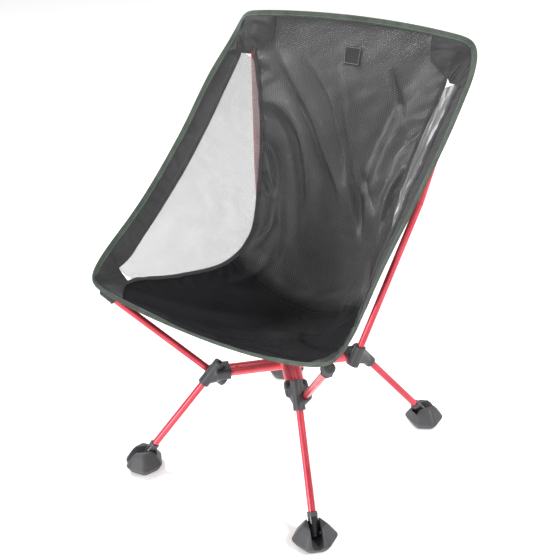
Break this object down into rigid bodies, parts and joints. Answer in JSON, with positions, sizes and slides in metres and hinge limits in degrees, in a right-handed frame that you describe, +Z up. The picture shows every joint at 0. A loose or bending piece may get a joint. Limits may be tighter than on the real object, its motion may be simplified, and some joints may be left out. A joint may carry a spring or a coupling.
{
  "type": "low camp chair with sling seat",
  "caption": "Low packable camp chair: fabric bucket sling hung on four arms, scissoring cross bars, plug-in sprung legs and hinged feet.",
  "frame": {"origin": "on the floor, at the middle of the chair's width and depth", "axes": "+Z up, -Y towards the sitter's knees (the front), +X to the sitter's left as they sit"},
  "size_m": [0.4422, 0.4125, 0.6502],
  "materials": {
    "red_tube": "satin red anodised",
    "hub_plastic": "fine moulded texture",
    "foot_plastic": "fine moulded texture",
    "black_plastic": "glossy",
    "steel": "brushed",
    "elastic_cord": "braided cover",
    "seat_cloth": "tight plain weave with a slight sheen",
    "back_cloth": "fine diamond ripstop weave",
    "side_mesh": "sheer net",
    "band_cloth": "plain weave",
    "binding_tape": "grosgrain tape",
    "patch_cloth": "plain woven patch without any mark"
  },
  "bodies": {
    "root": {"pivot_rivet": "steel", "pivot_spacer": "black_plastic"},
    "lower_bar": {"cross_bar_lower": "red_tube", "hub_front_left": "hub_plastic", "hub_back_right": "hub_plastic"},
    "upper_bar": {"cross_bar_upper": "red_tube", "hub_front_right": "hub_plastic", "hub_back_left": "hub_plastic"},
    "sling": {"sling_seat": "seat_cloth", "sling_back": "back_cloth", "sling_mesh_left": "side_mesh", "sling_mesh_right": "side_mesh", "sling_band_left": "band_cloth", "sling_band_right": "band_cloth", "sling_binding": "binding_tape", "sling_pocket_front_left": "band_cloth", "sling_pocket_front_right": "band_cloth", "sling_pocket_back_left": "band_cloth", "sling_pocket_back_right": "band_cloth", "sling_patch": "patch_cloth"},
    "arm_front_left": {"arm_tube_front_left": "red_tube", "arm_cap_front_left": "black_plastic", "arm_cord_front_left": "elastic_cord"},
    "leg_front_left": {"leg_tube_front_left": "red_tube", "leg_plug_front_left": "black_plastic", "leg_cord_front_left": "elastic_cord"},
    "foot_front_left": {"foot_front_left": "foot_plastic", "foot_pin_front_left": "steel"},
    "arm_front_right": {"arm_tube_front_right": "red_tube", "arm_cap_front_right": "black_plastic", "arm_cord_front_right": "elastic_cord"},
    "leg_front_right": {"leg_tube_front_right": "red_tube", "leg_plug_front_right": "black_plastic", "leg_cord_front_right": "elastic_cord"},
    "foot_front_right": {"foot_front_right": "foot_plastic", "foot_pin_front_right": "steel"},
    "arm_back_left": {"arm_tube_lower_back_left": "red_tube", "arm_tube_upper_back_left": "red_tube", "arm_ferrule_back_left": "steel", "arm_cap_back_left": "black_plastic", "arm_cord_back_left": "elastic_cord"},
    "leg_back_left": {"leg_tube_back_left": "red_tube", "leg_plug_back_left": "black_plastic", "leg_cord_back_left": "elastic_cord"},
    "foot_back_left": {"foot_back_left": "foot_plastic", "foot_pin_back_left": "steel"},
    "arm_back_right": {"arm_tube_lower_back_right": "red_tube", "arm_tube_upper_back_right": "red_tube", "arm_ferrule_back_right": "steel", "arm_cap_back_right": "black_plastic", "arm_cord_back_right": "elastic_cord"},
    "leg_back_right": {"leg_tube_back_right": "red_tube", "leg_plug_back_right": "black_plastic", "leg_cord_back_right": "elastic_cord"},
    "foot_back_right": {"foot_back_right": "foot_plastic", "foot_pin_back_right": "steel"}
  },
  "joints": [
    {"name": "sling_lift_off", "type": "slide", "parent": "root", "child": "sling", "axis": [0, 0, 1], "range_m": [0, 0.45], "deforming": ["sling_pocket_front_left", "sling_pocket_front_right", "sling_pocket_back_left", "sling_pocket_back_right"]},
    {"name": "lower_bar_turn", "type": "hinge", "parent": "root", "child": "lower_bar", "pos_m": [0, -0.009, 0.167], "axis": [0, 0, 1], "range_deg": [0, 28]},
    {"name": "upper_bar_turn", "type": "hinge", "parent": "root", "child": "upper_bar", "pos_m": [0, -0.009, 0.167], "axis": [0, 0, 1], "range_deg": [-28, 0]},
    {"name": "arm_pull_front_left", "type": "slide", "parent": "lower_bar", "child": "arm_front_left", "axis": [-0.5181, -0.4754, 0.711], "range_m": [0, 0.035], "deforming": ["arm_cord_front_left"]},
    {"name": "leg_pull_front_left", "type": "slide", "parent": "lower_bar", "child": "leg_front_left", "axis": [-0.4501, -0.4403, -0.7769], "range_m": [0, 0.035], "stiffness_N_per_m": 150, "springref_m": -0.05, "deforming": ["leg_cord_front_left"]},
    {"name": "foot_tilt_front_left", "type": "hinge", "parent": "leg_front_left", "child": "foot_front_left", "pos_m": [-0.16146, -0.17543, 0.01769], "axis": [-0.6993, 0.7148, 0], "range_deg": [-8, 65]},
    {"name": "arm_pull_front_right", "type": "slide", "parent": "upper_bar", "child": "arm_front_right", "axis": [0.5487, -0.5034, 0.6675], "range_m": [0, 0.035], "deforming": ["arm_cord_front_right"]},
    {"name": "leg_pull_front_right", "type": "slide", "parent": "upper_bar", "child": "leg_front_right", "axis": [0.4094, -0.4005, -0.8197], "range_m": [0, 0.035], "stiffness_N_per_m": 150, "springref_m": -0.05, "deforming": ["leg_cord_front_right"]},
    {"name": "foot_tilt_front_right", "type": "hinge", "parent": "leg_front_right", "child": "foot_front_right", "pos_m": [0.16024, -0.17424, 0.01641], "axis": [-0.6993, -0.7148, 0], "range_deg": [-8, 65]},
    {"name": "arm_pull_back_left", "type": "slide", "parent": "upper_bar", "child": "arm_back_left", "axis": [-0.255, 0.2939, 0.9212], "range_m": [0, 0.035], "deforming": ["arm_cord_back_left"]},
    {"name": "leg_pull_back_left", "type": "slide", "parent": "upper_bar", "child": "leg_back_left", "axis": [-0.289, 0.5013, -0.8155], "range_m": [0, 0.035], "stiffness_N_per_m": 150, "springref_m": -0.05, "deforming": ["leg_cord_back_left"]},
    {"name": "foot_tilt_back_left", "type": "hinge", "parent": "leg_back_left", "child": "foot_back_left", "pos_m": [-0.13981, 0.17389, 0.01653], "axis": [0.8663, 0.4995, 0], "range_deg": [-8, 65]},
    {"name": "arm_pull_back_right", "type": "slide", "parent": "lower_bar", "child": "arm_back_right", "axis": [0.2394, 0.2759, 0.9309], "range_m": [0, 0.035], "deforming": ["arm_cord_back_right"]},
    {"name": "leg_pull_back_right", "type": "slide", "parent": "lower_bar", "child": "leg_back_right", "axis": [0.3174, 0.5506, -0.7721], "range_m": [0, 0.035], "stiffness_N_per_m": 150, "springref_m": -0.05, "deforming": ["leg_cord_back_right"]},
    {"name": "foot_tilt_back_right", "type": "hinge", "parent": "leg_back_right", "child": "foot_back_right", "pos_m": [0.14066, 0.17536, 0.01784], "axis": [0.8663, -0.4995, 0], "range_deg": [-8, 65]}
  ],
  "couplings": [
    {"joint": "lower_bar_turn", "follows": "sling_lift_off", "rad_per_m": 1.0859},
    {"joint": "upper_bar_turn", "follows": "sling_lift_off", "rad_per_m": -1.0859},
    {"joint": "arm_pull_front_left", "follows": "sling_lift_off", "ratio": 0.0777},
    {"joint": "arm_pull_front_right", "follows": "sling_lift_off", "ratio": 0.0777},
    {"joint": "arm_pull_back_left", "follows": "sling_lift_off", "ratio": 0.0777},
    {"joint": "arm_pull_back_right", "follows": "sling_lift_off", "ratio": 0.0777}
  ]
}
